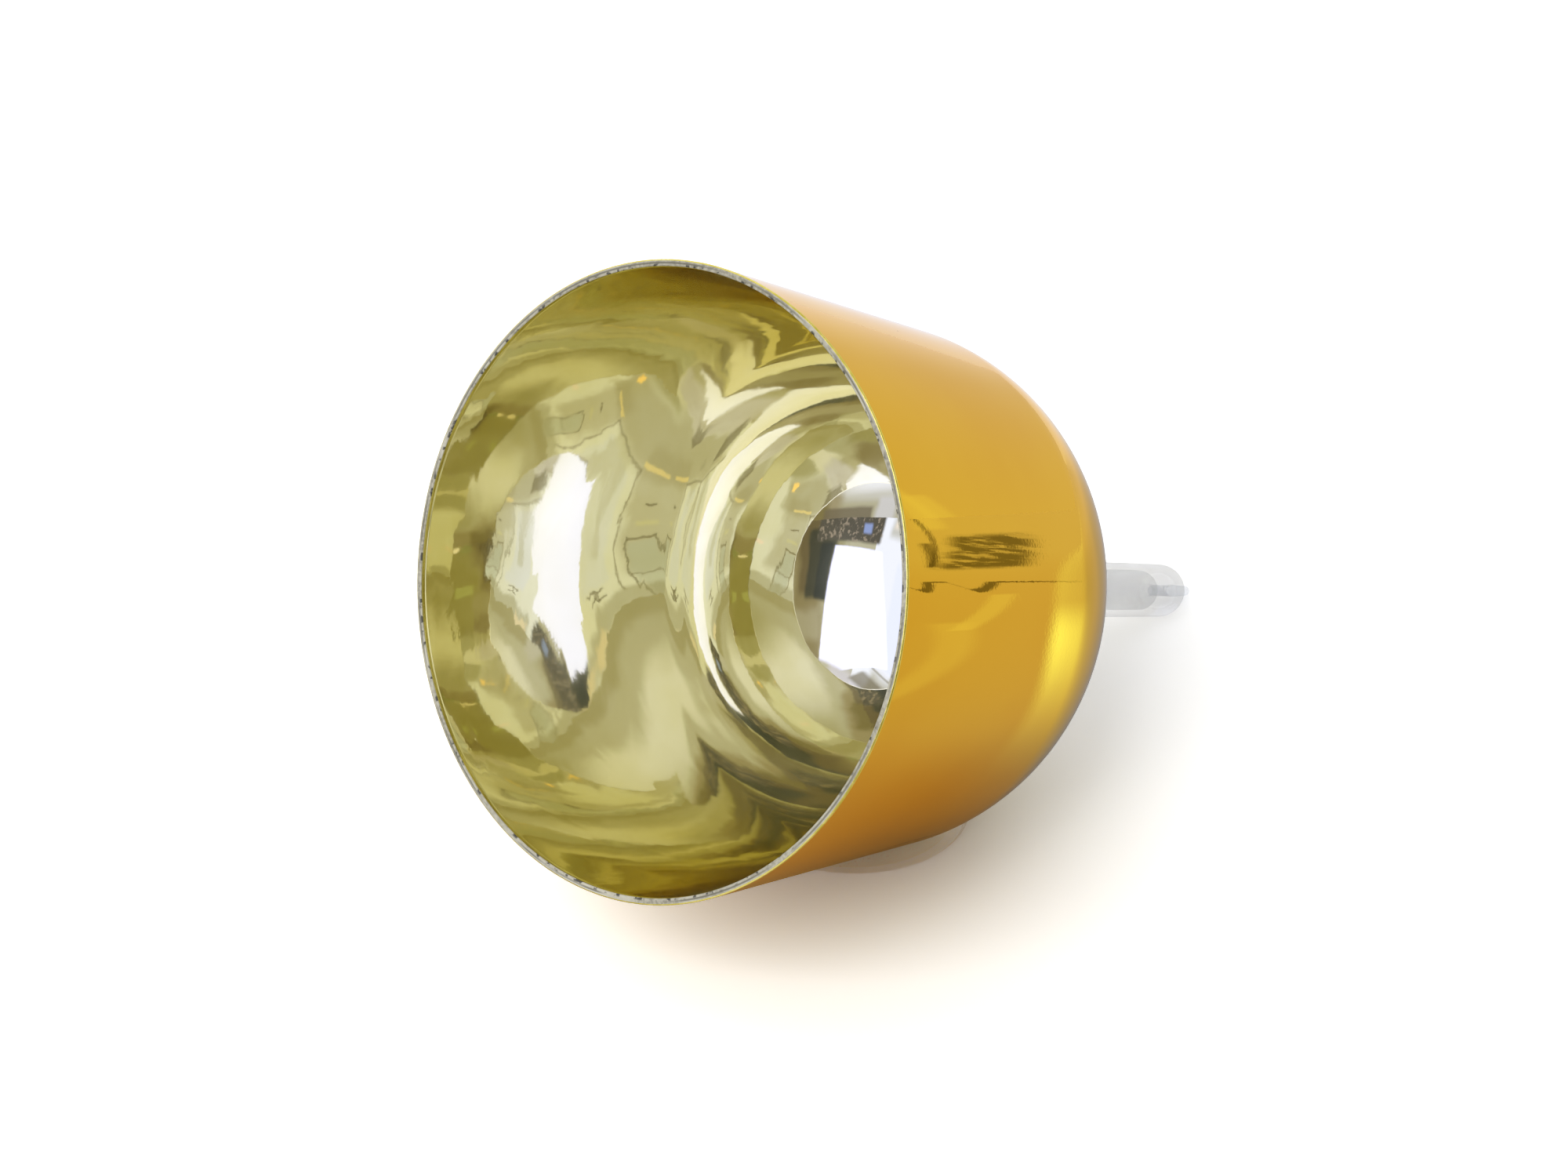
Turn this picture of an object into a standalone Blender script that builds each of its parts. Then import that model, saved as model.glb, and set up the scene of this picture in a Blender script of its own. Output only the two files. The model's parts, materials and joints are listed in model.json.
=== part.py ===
"""Handled crystal singing bowl lying on its clear rest ring.

A thin turned bowl of metallised glass, a clear glass tube handle on the middle
of its underside, a soft plug in the tube's end, and the loose ring under the
bowl. The bowl lies on its side with the mouth tipped up and the end of the
handle just clear of the table.

Units are metres and +Z is up. The table is z = 0. The bowl's axis lies in the
XZ plane with the mouth towards -X and the handle towards +X. The origin is
midway along X between the mouth and the end of the handle.

Turned pieces are drawn as (radius, z) profiles. On the bowl's axis, z is the
depth measured from the rim plane towards the handle.
"""

import math

import bmesh
import bpy
from mathutils import Vector

# Bowl
RIM_RADIUS = 0.0900
BOWL_DEPTH = 0.16785
WALL_TAPER = 0.0667  # share of the radius lost per rim radius of depth
BOTTOM_START = 0.1026  # where the straight wall starts to turn in
BOTTOM_POWER = 2.65  # 2 would be an ellipse, more is fuller at the shoulder
WALL_AT_RIM = 0.0020
WALL_AT_BOTTOM = 0.0026
WALL_GROWTH_POWER = 6  # a high power keeps the extra thickness near the bottom

# Handle: a tube with a vented round end, flared where it meets the bowl
HANDLE_RADIUS = 0.0103
HANDLE_END_CENTRE = 0.3086
BORE_RADIUS = 0.0076
BORE_END_CENTRE = 0.2920
FLARE_RADIUS = 0.0165
FLARE_HEIGHT = 0.0095
FLARE_EDGE = 0.0006  # straight edge under the flare's curve
VENT_RADIUS = 0.0022

# Plug in the vent at the handle's end
PLUG_STEM_RADIUS = 0.0018
PLUG_STEM_START = 0.3030
PLUG_BASE_RADIUS = 0.0024
PLUG_BASE_TAPER = 0.95
PLUG_BASE_HEIGHT = 0.0030
PLUG_TIP_RADIUS = 0.0020
PLUG_TIP_CENTRE = 0.3312

# Rest ring: round cord flattened underneath
RING_OUTER_RADIUS = 0.0394
RING_CORD_RADIUS = 0.0040
RING_FLAT = 0.0004  # depth cut off the cord's underside
RING_AHEAD_OF_LOWEST = 0.0096  # ring centre, towards +X from the bowl's lowest point

# Pose on the table
AXIS_TILT = math.radians(20.8)
BOWL_ABOVE_TABLE = 0.0035
GAP = 0.0003  # keeps the handle off the bowl and the plug off the handle

# Steps around each turned piece
BOWL_SEGMENTS = 72
HANDLE_SEGMENTS = 40
PLUG_SEGMENTS = 20
RING_SEGMENTS = 64

# Sampling of the bowl's profile
FINE_WALL_STEPS = 40
FINE_BOTTOM_STEPS = 240
OUTSIDE_STEPS = 15
INSIDE_STEPS = 14
SPACING_LENGTH = 0.23  # curve length that counts as one unit of travel
SPACING_PER_TURN = 0.9  # units of travel per radian of turn

SHARP_ANGLE = math.radians(35.0)
LIP_DEPTH = 0.0005  # faces nearer the rim plane than this keep the outer finish


# Curves

def bowl_radius(depth):
    """Outer radius of the bowl at a depth."""
    share = min(max((depth - BOTTOM_START) / (BOWL_DEPTH - BOTTOM_START), 0.0), 1.0)
    taper = 1.0 - WALL_TAPER * depth / RIM_RADIUS
    return RIM_RADIUS * taper * (1.0 - share**2) ** (1.0 / BOTTOM_POWER)


def bowl_depth_at(radius):
    """Depth of the bottom's outer surface at a small radius, by bisection."""
    low, high = BOTTOM_START, BOWL_DEPTH
    for _ in range(50):
        middle = 0.5 * (low + high)
        if bowl_radius(middle) > radius:
            low = middle
        else:
            high = middle
    return low


def outer_curve():
    """Fine outer profile of the bowl, rim to pole."""
    depths = [BOTTOM_START * i / FINE_WALL_STEPS for i in range(FINE_WALL_STEPS)]
    for i in range(FINE_BOTTOM_STEPS):
        turn = 0.5 * math.pi * i / FINE_BOTTOM_STEPS
        depths.append(BOTTOM_START + (BOWL_DEPTH - BOTTOM_START) * math.sin(turn))
    # The pole is set exactly, as rounding would leave it a small radius.
    return [(bowl_radius(depth), depth) for depth in depths] + [(0.0, BOWL_DEPTH)]


def step_between(start, end):
    return Vector((end[0] - start[0], end[1] - start[1]))


def offset_inwards(curve):
    """The same curve moved in by the wall thickness, which grows to the bottom."""
    moved = []
    last = len(curve) - 1
    for i, (radius, depth) in enumerate(curve):
        growth = (depth / BOWL_DEPTH) ** WALL_GROWTH_POWER
        wall = WALL_AT_RIM + (WALL_AT_BOTTOM - WALL_AT_RIM) * growth
        if i == 0:
            moved.append((radius - wall, depth))
        elif i == last:
            moved.append((0.0, depth - wall))
        else:
            # A quarter turn of the direction of travel points into the bowl.
            along = step_between(curve[i - 1], curve[i + 1]).normalized()
            moved.append((radius - along.y * wall, depth + along.x * wall))
    return moved


def thinned(curve, count):
    """Points along the curve, spaced by length and by how far it turns."""
    steps = [step_between(start, end) for start, end in zip(curve, curve[1:])]
    travel = [0.0]
    for i, step in enumerate(steps):
        turn = step.angle(steps[i + 1], 0.0) if i + 1 < len(steps) else 0.0
        travel.append(travel[-1] + step.length / SPACING_LENGTH + SPACING_PER_TURN * turn)

    points = []
    k = 0
    for j in range(count):
        aim = travel[-1] * j / count
        while k < len(travel) - 2 and travel[k + 1] < aim:
            k += 1
        share = (aim - travel[k]) / (travel[k + 1] - travel[k])
        start, end = curve[k], curve[k + 1]
        points.append(tuple(a + (b - a) * share for a, b in zip(start, end)))
    return points + [curve[-1]]


def arc(centre, radius, start, end, count):
    """Circle about (0, centre) in the profile plane, angles from the radial direction."""
    angles = [start + (end - start) * i / count for i in range(count + 1)]
    return [(radius * math.cos(a), centre + radius * math.sin(a)) for a in angles]


# Profiles

def bowl_profile(curve):
    """Inner pole up to the rim, then down the outside to the outer pole."""
    inside = thinned(offset_inwards(curve), INSIDE_STEPS)
    return inside[::-1] + thinned(curve, OUTSIDE_STEPS)


def handle_profile():
    """Foot on the bowl, flare, tube, round end, vent and bore."""
    foot_radii = (BORE_RADIUS, (BORE_RADIUS + FLARE_RADIUS) / 2, FLARE_RADIUS)
    foot = [(radius, bowl_depth_at(radius) + GAP) for radius in foot_radii]

    flare_start = foot[-1][1] + FLARE_EDGE
    flare = []
    for i in range(7):
        turn = 0.5 * math.pi * i / 6
        radius = FLARE_RADIUS - (FLARE_RADIUS - HANDLE_RADIUS) * math.sin(turn)
        flare.append((radius, flare_start + FLARE_HEIGHT * (1.0 - math.cos(turn))))

    outer_vent = math.acos(VENT_RADIUS / HANDLE_RADIUS)
    inner_vent = math.acos(VENT_RADIUS / BORE_RADIUS)
    outer_end = arc(HANDLE_END_CENTRE, HANDLE_RADIUS, start=0.0, end=outer_vent, count=8)
    bore_end = arc(BORE_END_CENTRE, BORE_RADIUS, start=inner_vent, end=0.0, count=5)
    return foot + flare + outer_end + bore_end


def plug_profile():
    """Stem inside the vent, a wider base on the handle's end, and a round tip."""
    seat = HANDLE_END_CENTRE + HANDLE_RADIUS + GAP
    tip = arc(PLUG_TIP_CENTRE, PLUG_TIP_RADIUS, start=0.0, end=0.5 * math.pi, count=4)
    tip[-1] = (0.0, PLUG_TIP_CENTRE + PLUG_TIP_RADIUS)  # exactly on the axis
    return [
        (0.0, PLUG_STEM_START),
        (PLUG_STEM_RADIUS, PLUG_STEM_START),
        (PLUG_STEM_RADIUS, seat),
        (PLUG_BASE_RADIUS, seat),
        (PLUG_BASE_RADIUS * PLUG_BASE_TAPER, seat + PLUG_BASE_HEIGHT),
    ] + tip


def ring_profile():
    """Cord section with a flat foot, the foot at z = 0."""
    cord_centre = RING_OUTER_RADIUS - RING_CORD_RADIUS
    height = RING_CORD_RADIUS - RING_FLAT
    low = math.asin(-height / RING_CORD_RADIUS)
    section = arc(height, RING_CORD_RADIUS, start=low, end=math.pi - low, count=14)
    return [(cord_centre + across, z) for across, z in section]


# Objects

def material(name, colour, roughness, metallic=0.0, transmission=0.0):
    made = bpy.data.materials.new(name)
    made.use_nodes = True
    shader = made.node_tree.nodes["Principled BSDF"]
    shader.inputs["Base Color"].default_value = (*colour, 1.0)
    shader.inputs["Roughness"].default_value = roughness
    shader.inputs["Metallic"].default_value = metallic
    shader.inputs["Transmission Weight"].default_value = transmission
    made.diffuse_color = (*colour, 1.0)
    return made


def turned(name, profile, segments, skin, closed=False, parent=None):
    """A solid spun about local Z. A profile that stays off the axis is closed."""
    mesh = bmesh.new()
    points = [mesh.verts.new((radius, 0.0, z)) for radius, z in profile]
    edges = [mesh.edges.new(pair) for pair in zip(points, points[1:])]
    if closed:
        edges.append(mesh.edges.new((points[-1], points[0])))
    bmesh.ops.spin(
        mesh,
        geom=points + edges,
        cent=(0.0, 0.0, 0.0),
        axis=(0.0, 0.0, 1.0),
        angle=2.0 * math.pi,
        steps=segments,
        use_duplicate=False,
    )
    # Welds the seam of the full turn and the points on the axis.
    bmesh.ops.remove_doubles(mesh, verts=mesh.verts, dist=1e-6)
    bmesh.ops.recalc_face_normals(mesh, faces=mesh.faces)
    data = bpy.data.meshes.new(name)
    mesh.to_mesh(data)
    mesh.free()
    data.materials.append(skin)
    data.shade_smooth()
    data.set_sharp_from_angle(angle=SHARP_ANGLE)
    made = bpy.data.objects.new(name, data)
    bpy.context.scene.collection.objects.link(made)
    made.parent = parent
    return made


def drop_below_axis(point):
    """Height of the rim plane's centre above a profile point turned to the underside."""
    radius, depth = point
    return depth * math.sin(AXIS_TILT) + radius * math.cos(AXIS_TILT)


def build_axis(x, z):
    """Empty at the rim plane's centre, its local Z running down the handle."""
    axis = bpy.data.objects.new("bowl_axis", None)
    bpy.context.scene.collection.objects.link(axis)
    axis.location = (x, 0.0, z)
    axis.rotation_euler = (0.0, 0.5 * math.pi + AXIS_TILT, 0.0)
    return axis


def build_bowl(curve, axis):
    gold = material("gold_lacquered_quartz", (0.80, 0.50, 0.07), roughness=0.16, metallic=0.95)
    silver = material("pale_gold_mirror", (0.86, 0.83, 0.62), roughness=0.03, metallic=1.0)
    bowl = turned("bowl_shell", bowl_profile(curve), BOWL_SEGMENTS, gold, parent=axis)
    bowl.data.materials.append(silver)
    for face in bowl.data.polygons:
        # Faces that look back at the axis or out of the mouth line the inside.
        middle = face.center
        outwards = face.normal.x * middle.x + face.normal.y * middle.y
        if middle.z > LIP_DEPTH and (outwards < -1e-7 or face.normal.z < -0.5):
            face.material_index = 1


def build_handle(axis):
    clear = material("clear_quartz", (0.90, 0.93, 0.94), roughness=0.02, transmission=1.0)
    turned("handle_tube", handle_profile(), HANDLE_SEGMENTS, clear, closed=True, parent=axis)


def build_plug(axis):
    soft = material("soft_clear_plug", (0.78, 0.84, 0.92), roughness=0.35, transmission=0.6)
    turned("vent_plug", plug_profile(), PLUG_SEGMENTS, soft, parent=axis)


def build_ring(x):
    cord = material("clear_silicone", (0.80, 0.77, 0.70), roughness=0.20, transmission=0.8)
    ring = turned("rest_ring", ring_profile(), RING_SEGMENTS, cord, closed=True)
    ring.location = (x, 0.0, 0.0)


def build():
    for old in list(bpy.data.objects):
        bpy.data.objects.remove(old, do_unlink=True)

    # The bowl's lowest point sets the height, the reach at each end sets x.
    curve = outer_curve()
    lowest = max(curve, key=drop_below_axis)
    mouth_reach = RIM_RADIUS * math.sin(AXIS_TILT)
    handle_reach = PLUG_TIP_CENTRE * math.cos(AXIS_TILT) + PLUG_TIP_RADIUS
    rim_x = -0.5 * (handle_reach - mouth_reach)
    lowest_x = rim_x + lowest[1] * math.cos(AXIS_TILT) - lowest[0] * math.sin(AXIS_TILT)

    axis = build_axis(x=rim_x, z=BOWL_ABOVE_TABLE + drop_below_axis(lowest))
    build_bowl(curve, axis)
    build_handle(axis)
    build_plug(axis)
    build_ring(x=lowest_x + RING_AHEAD_OF_LOWEST)


build()
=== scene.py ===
"""Looks of the handled crystal singing bowl: fine turned surfaces, metallised and clear glass, soft studio light."""

import json
import math

import bmesh
import bpy
import numpy as np
from mathutils import Matrix, Vector, noise

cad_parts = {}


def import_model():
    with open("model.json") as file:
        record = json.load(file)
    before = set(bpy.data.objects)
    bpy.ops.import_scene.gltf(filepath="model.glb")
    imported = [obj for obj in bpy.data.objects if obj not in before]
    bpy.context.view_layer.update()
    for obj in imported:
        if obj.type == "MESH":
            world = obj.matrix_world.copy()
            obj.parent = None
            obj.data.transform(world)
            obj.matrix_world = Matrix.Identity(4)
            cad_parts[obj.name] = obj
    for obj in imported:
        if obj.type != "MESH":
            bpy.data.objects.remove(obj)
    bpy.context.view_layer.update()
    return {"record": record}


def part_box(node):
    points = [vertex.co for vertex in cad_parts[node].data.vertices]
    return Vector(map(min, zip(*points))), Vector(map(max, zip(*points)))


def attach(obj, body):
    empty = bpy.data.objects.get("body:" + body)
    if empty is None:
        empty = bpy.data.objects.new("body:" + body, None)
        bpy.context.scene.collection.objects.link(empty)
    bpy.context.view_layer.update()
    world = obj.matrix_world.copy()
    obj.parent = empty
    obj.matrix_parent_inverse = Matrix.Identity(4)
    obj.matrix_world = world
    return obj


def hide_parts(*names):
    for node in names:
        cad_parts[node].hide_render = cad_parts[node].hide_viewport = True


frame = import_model()

scene = bpy.context.scene

# ---------------------------------------------------------------- the frame
MOUNTS = {m["name"]: m for m in frame["record"]["mounts"]}
RIM_RADIUS = 0.0900
RIM_MIDDLE = 0.0890
ALONG = -Vector(MOUNTS["rim_rest"]["axis"]).normalized()  # mouth to handle
UPWARD = Vector((-ALONG.z, 0.0, ALONG.x)).normalized()  # square to the axis, away from the table
SIDEWAYS = ALONG.cross(UPWARD)
RIM_CENTRE = Vector(MOUNTS["rim_rest"]["pos_m"]) - RIM_MIDDLE * UPWARD
TURNED = Matrix.Translation(RIM_CENTRE) @ Matrix(
    ((UPWARD.x, SIDEWAYS.x, ALONG.x, 0), (UPWARD.y, SIDEWAYS.y, ALONG.y, 0), (UPWARD.z, SIDEWAYS.z, ALONG.z, 0), (0, 0, 0, 1))
)

BOWL_DEPTH = 0.16785
WALL_TAPER = 0.0667
BOTTOM_START = 0.1026
BOTTOM_POWER = 2.65
WALL_AT_RIM = 0.0020
WALL_AT_BOTTOM = 0.0026
HANDLE_RADIUS = 0.0103
HANDLE_END_CENTRE = 0.3086
BORE_RADIUS = 0.0076
BORE_END_CENTRE = 0.2920
FLARE_RADIUS = 0.0165
FLARE_HEIGHT = 0.0095
VENT_RADIUS = 0.0022
PLUG_STEM_RADIUS = 0.0018
PLUG_STEM_START = 0.3030
PLUG_BASE_RADIUS = 0.0024
PLUG_TIP_RADIUS = 0.0020
PLUG_TIP_CENTRE = 0.3312
GAP = 0.0003


def bowl_radius(depth):
    taper = 1.0 - WALL_TAPER * depth / RIM_RADIUS
    closing = min(max((depth - BOTTOM_START) / (BOWL_DEPTH - BOTTOM_START), 0.0), 1.0)
    return RIM_RADIUS * taper * (1.0 - closing * closing) ** (1.0 / BOTTOM_POWER)


def bowl_depth_at(radius):
    low, high = BOTTOM_START, BOWL_DEPTH
    for _ in range(50):
        middle = 0.5 * (low + high)
        if bowl_radius(middle) > radius:
            low = middle
        else:
            high = middle
    return low


def dense_outer(count=1500):
    """The outside from rim to bottom as close (radius, depth) points."""
    wall = [BOTTOM_START * k / 300 for k in range(300)]
    turns = [0.5 * math.pi * i / count for i in range(count + 1)]
    closing = [BOTTOM_START + (BOWL_DEPTH - BOTTOM_START) * math.sin(t) for t in turns]
    curve = [(bowl_radius(d), d) for d in wall + closing]
    curve[-1] = (0.0, BOWL_DEPTH)
    return curve


def evenly(curve, count):
    """Points along a dense (radius, depth) curve, spaced by length and turn."""
    travel = [0.0]
    for i in range(1, len(curve)):
        step = Vector((curve[i][0] - curve[i - 1][0], curve[i][1] - curve[i - 1][1]))
        turn = 0.0
        if i < len(curve) - 1:
            ahead = Vector((curve[i + 1][0] - curve[i][0], curve[i + 1][1] - curve[i][1]))
            turn = step.angle(ahead, 0.0)
        travel.append(travel[-1] + step.length / 0.10 + 0.5 * turn)
    points, k = [], 0
    for j in range(count + 1):
        aim = travel[-1] * j / count
        while k < len(travel) - 2 and travel[k + 1] < aim:
            k += 1
        share = (aim - travel[k]) / max(travel[k + 1] - travel[k], 1e-12)
        a, b = curve[k], curve[k + 1]
        points.append((a[0] + (b[0] - a[0]) * share, a[1] + (b[1] - a[1]) * share))
    return points


def inner_of(curve):
    moved = []
    for i, (radius, depth) in enumerate(curve):
        before = curve[max(i - 1, 0)]
        after = curve[min(i + 1, len(curve) - 1)]
        along = Vector((after[0] - before[0], after[1] - before[1])).normalized()
        share = (depth / BOWL_DEPTH) ** 6
        wall = WALL_AT_RIM + (WALL_AT_BOTTOM - WALL_AT_RIM) * share
        if i == 0:
            moved.append((radius - wall, depth))
        elif i == len(curve) - 1:
            moved.append((0.0, depth - wall))
        else:
            moved.append((radius - along.y * wall, depth + along.x * wall))
    return moved


def lathe(name, rows, segments, body, node=None, shift=None, at=TURNED):
    """A turned mesh. rows is a list of (radius, depth, material index of the band up to the next row).
    shift(angle, row number, radius, depth) moves a point along its (radius, depth) by a returned pair."""
    verts, faces, index = [], [], []
    rings = []
    for k, (radius, depth, _) in enumerate(rows):
        if radius < 1e-9:
            verts.append((0.0, 0.0, depth))
            rings.append([len(verts) - 1] * segments)
            continue
        ring = []
        for j in range(segments):
            angle = 2 * math.pi * j / segments
            dr, dz = shift(angle, k, radius, depth) if shift else (0.0, 0.0)
            verts.append(((radius + dr) * math.cos(angle), (radius + dr) * math.sin(angle), depth + dz))
            ring.append(len(verts) - 1)
        rings.append(ring)
    closed = rows[0][0] > 1e-9 and rows[-1][0] > 1e-9
    pairs = list(range(len(rows) - 1)) + ([len(rows) - 1] if closed else [])
    for k in pairs:
        a, b = rings[k], rings[(k + 1) % len(rings)]
        for j in range(segments):
            n = (j + 1) % segments
            loop = []
            for v in (a[j], b[j], b[n], a[n]):
                if v not in loop:
                    loop.append(v)
            if len(loop) > 2:
                faces.append(loop)
                index.append(rows[k][2])
    mesh = bpy.data.meshes.new(name)
    mesh.from_pydata(verts, [], faces)
    mesh.polygons.foreach_set("material_index", index)
    mesh.update()
    bm = bmesh.new()
    bm.from_mesh(mesh)
    bmesh.ops.recalc_face_normals(bm, faces=bm.faces)
    bm.to_mesh(mesh)
    bm.free()
    mesh.shade_smooth()
    turned = mesh.attributes.new("turned", "FLOAT_VECTOR", "POINT")
    flat = np.empty(len(mesh.vertices) * 3, np.float32)
    mesh.vertices.foreach_get("co", flat)
    turned.data.foreach_set("vector", flat)
    mesh.transform(at)
    made = bpy.data.objects.new(name, mesh)
    scene.collection.objects.link(made)
    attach(made, body)
    if node:
        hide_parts(node)
    return made


# ---------------------------------------------------------------- materials
def new_material(name):
    made = bpy.data.materials.new(name)
    made.use_nodes = True
    tree = made.node_tree
    for n in list(tree.nodes):
        tree.nodes.remove(n)
    out = tree.nodes.new("ShaderNodeOutputMaterial")
    return made, tree, out


def node(tree, kind, inputs=None, **fields):
    made = tree.nodes.new(kind)
    for key, value in fields.items():
        setattr(made, key, value)
    for key, value in (inputs or {}).items():
        if isinstance(value, bpy.types.NodeSocket):
            tree.links.new(value, made.inputs[key])
        else:
            made.inputs[key].default_value = value
    return made


def maths(tree, operation, a, b=0.0, clamp=False):
    return node(tree, "ShaderNodeMath", {0: a, 1: b}, operation=operation, use_clamp=clamp).outputs[0]


def smooth(tree, value, start, end, low=0.0, high=1.0):
    """low before start, high after end, with a soft step between."""
    return node(
        tree,
        "ShaderNodeMapRange",
        {"Value": value, "From Min": start, "From Max": end, "To Min": low, "To Max": high},
        interpolation_type="SMOOTHSTEP",
    ).outputs[0]


def mixed(tree, share, a, b):
    made = node(tree, "ShaderNodeMix", data_type="RGBA")
    for index, value in ((0, share), (6, a), (7, b)):
        if isinstance(value, bpy.types.NodeSocket):
            tree.links.new(value, made.inputs[index])
        else:
            made.inputs[index].default_value = value
    return made.outputs[2]


def speckle(tree, place, scale, detail=2.0, rough=0.5, distortion=0.0):
    return node(
        tree,
        "ShaderNodeTexNoise",
        {"Vector": place, "Scale": scale, "Detail": detail, "Roughness": rough, "Distortion": distortion},
    ).outputs[0]


def turned_place(tree):
    """The turned coordinates: x and y across the axis, z the depth from the rim, in metres."""
    place = node(tree, "ShaderNodeAttribute", attribute_name="turned").outputs["Vector"]
    parts = node(tree, "ShaderNodeSeparateXYZ", {0: place})
    x, y, depth = parts.outputs
    radius = maths(tree, "SQRT", maths(tree, "ADD", maths(tree, "MULTIPLY", x, x), maths(tree, "MULTIPLY", y, y)))
    return place, radius, depth


def bumped(tree, height, distance, strength=1.0, normal=None):
    inputs = {"Height": height, "Distance": distance, "Strength": strength}
    if normal is not None:
        inputs["Normal"] = normal
    return node(tree, "ShaderNodeBump", inputs).outputs[0]


def mirror_inside():
    """Vacuum-metallised glass: pale gold and a little hazy on the walls, nearly silver and sharp at the bottom."""
    made, tree, out = new_material("pale_gold_mirror")
    place, radius, depth = turned_place(tree)
    bottom = smooth(tree, radius, 0.070, 0.040)
    patchy = speckle(tree, place, 26.0, 2.0, 0.6)
    wall = mixed(tree, smooth(tree, patchy, 0.35, 0.65), (0.850, 0.815, 0.560, 1), (0.880, 0.850, 0.625, 1))
    colour = mixed(tree, bottom, wall, (0.94, 0.935, 0.88, 1))
    rough = smooth(tree, patchy, 0.35, 0.70, 0.020, 0.046)
    rough = maths(tree, "MULTIPLY", rough, maths(tree, "SUBTRACT", 1.0, maths(tree, "MULTIPLY", bottom, 0.85)))
    waves = maths(tree, "MULTIPLY", speckle(tree, place, 300.0, 2.0, 0.65), smooth(tree, radius, 0.035, 0.070, 0.25, 1.0))
    drawn = node(tree, "ShaderNodeMapping", {"Vector": place, "Scale": (1.0, 1.0, 1.6)}).outputs[0]
    drawn = maths(tree, "MULTIPLY", speckle(tree, drawn, 38.0, 1.5, 0.5, 0.8), smooth(tree, radius, 0.045, 0.075, 0.10, 1.0))
    normal = bumped(tree, drawn, 0.00009)
    normal = bumped(tree, waves, 0.000006, 1.0, normal)
    shader = {"Base Color": colour, "Metallic": 1.0, "Roughness": rough, "Specular Tint": (0.90, 0.855, 0.60, 1), "Normal": normal}
    shader = node(tree, "ShaderNodeBsdfPrincipled", shader)
    haze = node(tree, "ShaderNodeBsdfPrincipled", {"Base Color": colour, "Metallic": 1.0, "Roughness": 0.24})
    share = maths(tree, "MULTIPLY", smooth(tree, radius, 0.035, 0.070, 0.015, 1.0), smooth(tree, patchy, 0.35, 0.65, 0.04, 0.09))
    both = node(tree, "ShaderNodeMixShader", {0: share, 1: shader.outputs[0], 2: haze.outputs[0]})
    tree.links.new(both.outputs[0], out.inputs[0])
    return made


def gold_outside():
    """Transparent orange-gold lacquer over the metallised wall, with orange peel and a few pinholes."""
    made, tree, out = new_material("gold_lacquer")
    place, radius, depth = turned_place(tree)
    cloud = speckle(tree, place, 14.0, 3.0, 0.5)
    colour = mixed(tree, smooth(tree, cloud, 0.35, 0.65), (0.80, 0.445, 0.018, 1), (0.83, 0.485, 0.024, 1))
    cells = node(tree, "ShaderNodeTexVoronoi", {"Vector": place, "Scale": 60.0, "Randomness": 1.0})
    hole = smooth(tree, cells.outputs["Distance"], 0.028, 0.016)
    chosen = smooth(tree, node(tree, "ShaderNodeSeparateColor", {0: cells.outputs["Color"]}).outputs[0], 0.90, 0.905)
    pinhole = maths(tree, "MULTIPLY", hole, chosen)
    colour = mixed(tree, maths(tree, "MULTIPLY", pinhole, 0.85), colour, (0.16, 0.08, 0.01, 1))
    thrown = node(tree, "ShaderNodeLightPath").outputs["Is Diffuse Ray"]
    colour = mixed(tree, thrown, colour, (0.64, 0.45, 0.035, 1))
    rough = smooth(tree, speckle(tree, place, 45.0, 4.0, 0.6), 0.35, 0.75, 0.006, 0.018)
    peel = speckle(tree, place, 900.0, 2.0, 0.5)
    uneven = smooth(tree, depth, 0.035, 0.105, 0.18, 1.0)
    normal = bumped(tree, maths(tree, "MULTIPLY", peel, uneven), 0.0000055)
    normal = bumped(tree, maths(tree, "SUBTRACT", 1.0, pinhole), 0.00010, 1.0, normal)
    shader = node(
        tree,
        "ShaderNodeBsdfPrincipled",
        {"Base Color": colour, "Metallic": 1.0, "Roughness": rough, "Normal": normal, "Specular Tint": (1.0, 0.92, 0.80, 1)},
    )
    tree.links.new(shader.outputs[0], out.inputs[0])
    return made


def ground_rim():
    """Ground quartz: grey with fine scratches round the lip and small chips along the inner edge."""
    made, tree, out = new_material("ground_glass_rim")
    place, radius, depth = turned_place(tree)
    across = maths(tree, "SUBTRACT", RIM_RADIUS, radius)
    grain = speckle(tree, place, 700.0, 3.0, 0.65)
    around = speckle(tree, place, 26.0, 3.0, 0.6)
    colour = mixed(tree, smooth(tree, grain, 0.35, 0.65), (0.21, 0.195, 0.15, 1), (0.36, 0.34, 0.27, 1))
    colour = mixed(tree, smooth(tree, around, 0.42, 0.66), colour, (0.42, 0.40, 0.33, 1))
    line = maths(tree, "MULTIPLY", smooth(tree, across, 0.0007, 0.0010), smooth(tree, across, 0.0015, 0.0012))
    worn = smooth(tree, speckle(tree, place, 34.0, 2.0), 0.40, 0.55)
    colour = mixed(tree, maths(tree, "MULTIPLY", maths(tree, "MULTIPLY", line, worn), 0.85), colour, (0.10, 0.095, 0.07, 1))
    edge = smooth(tree, across, 0.0010, 0.0017)
    chip = smooth(tree, speckle(tree, place, 380.0, 2.0, 0.6), 0.55, 0.62)
    colour = mixed(tree, maths(tree, "MULTIPLY", maths(tree, "MULTIPLY", edge, chip), 0.92), colour, (0.02, 0.018, 0.014, 1))
    normal = bumped(tree, grain, 0.00008)
    shader = node(
        tree,
        "ShaderNodeBsdfPrincipled",
        {"Base Color": colour, "Roughness": 0.42, "IOR": 1.46, "Normal": normal},
    )
    tree.links.new(shader.outputs[0], out.inputs[0])
    return made


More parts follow.
